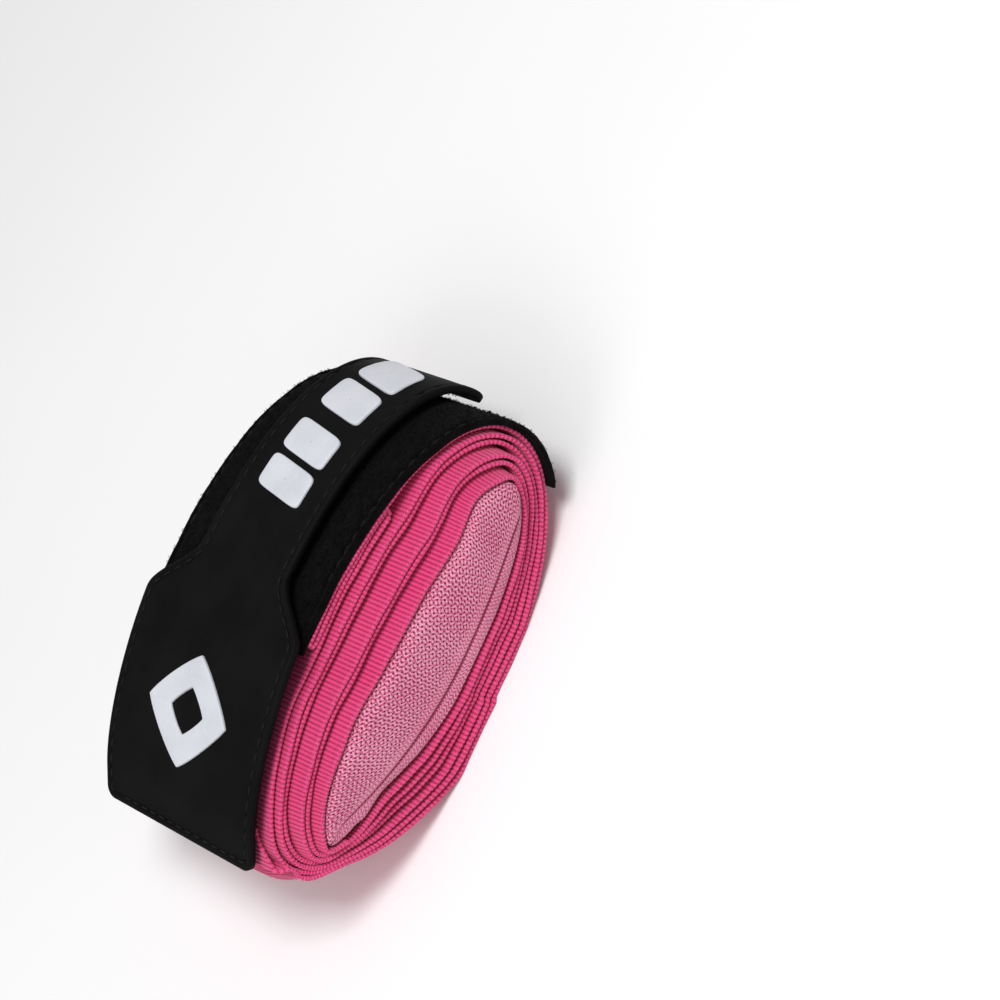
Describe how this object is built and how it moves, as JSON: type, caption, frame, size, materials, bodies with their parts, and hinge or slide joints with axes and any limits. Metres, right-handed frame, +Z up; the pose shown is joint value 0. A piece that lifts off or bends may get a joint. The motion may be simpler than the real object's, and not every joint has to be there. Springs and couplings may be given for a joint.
{
  "type": "hand wrap",
  "caption": "Rolled elastic hand wrap with a padded mesh core, closed by a moulded rubber hook-and-loop strap that peels open.",
  "frame": {"origin": "centre of the bottom of the whole roll's box, on the surface that it lies on", "axes": "+Z up towards the closing strap; +X along the roll from the strap's sewn end to its free end; +Y across the band, away from the end that shows the turns"},
  "size_m": [0.1062, 0.0658, 0.043],
  "materials": {
    "pink_elastic": "ribbed elastic knit, matt",
    "pale_mesh": "open-hole mesh knit, matt",
    "foam": "soft closed foam",
    "loop_pile": "brushed loop pile",
    "hook_tape": "moulded hook tape",
    "black_webbing": "thin woven webbing",
    "black_rubber": "moulded soft rubber, matt with a fine grain",
    "black_thread": "sewing thread",
    "white_rubber": "raised moulded rubber, satin"
  },
  "bodies": {
    "roll": {"elastic_band": "pink_elastic", "pad_sleeve": "pale_mesh", "palm_foam": "foam", "knuckle_foam": "foam", "thumb_loop": "pink_elastic", "loop_patch": "loop_pile", "patch_seam_near": "black_thread", "patch_seam_far": "black_thread", "strap_cover_root": "black_rubber", "strap_lining_root": "black_webbing", "strap_seam_root": "black_thread"},
    "strap_mid": {"strap_cover_mid": "black_rubber", "strap_lining_mid": "black_webbing", "hook_tape_mid": "hook_tape", "strap_seam_mid_near": "black_thread", "strap_seam_mid_far": "black_thread", "emblem": "white_rubber"},
    "strap_neck": {"strap_cover_neck": "black_rubber", "hook_tape_neck": "hook_tape", "strap_seam_neck_near": "black_thread", "strap_seam_neck_far": "black_thread", "bar_1": "white_rubber", "bar_2": "white_rubber"},
    "strap_tip": {"strap_cover_tip": "black_rubber", "hook_tape_tip": "hook_tape", "strap_seam_tip": "black_thread", "bar_3": "white_rubber", "bar_4": "white_rubber"}
  },
  "joints": [
    {"name": "strap_peel", "type": "hinge", "parent": "roll", "child": "strap_mid", "pos_m": [-0.04467, 0.00615, 0.03249], "axis": [0, -1, 0], "range_deg": [0, 110]},
    {"name": "neck_bend", "type": "hinge", "parent": "strap_mid", "child": "strap_neck", "pos_m": [0.00633, 0.00615, 0.042], "axis": [0, -1, 0], "range_deg": [0, 35]},
    {"name": "tip_bend", "type": "hinge", "parent": "strap_neck", "child": "strap_tip", "pos_m": [0.03458, 0.00584, 0.03692], "axis": [0, -1, 0], "range_deg": [0, 70]}
  ]
}
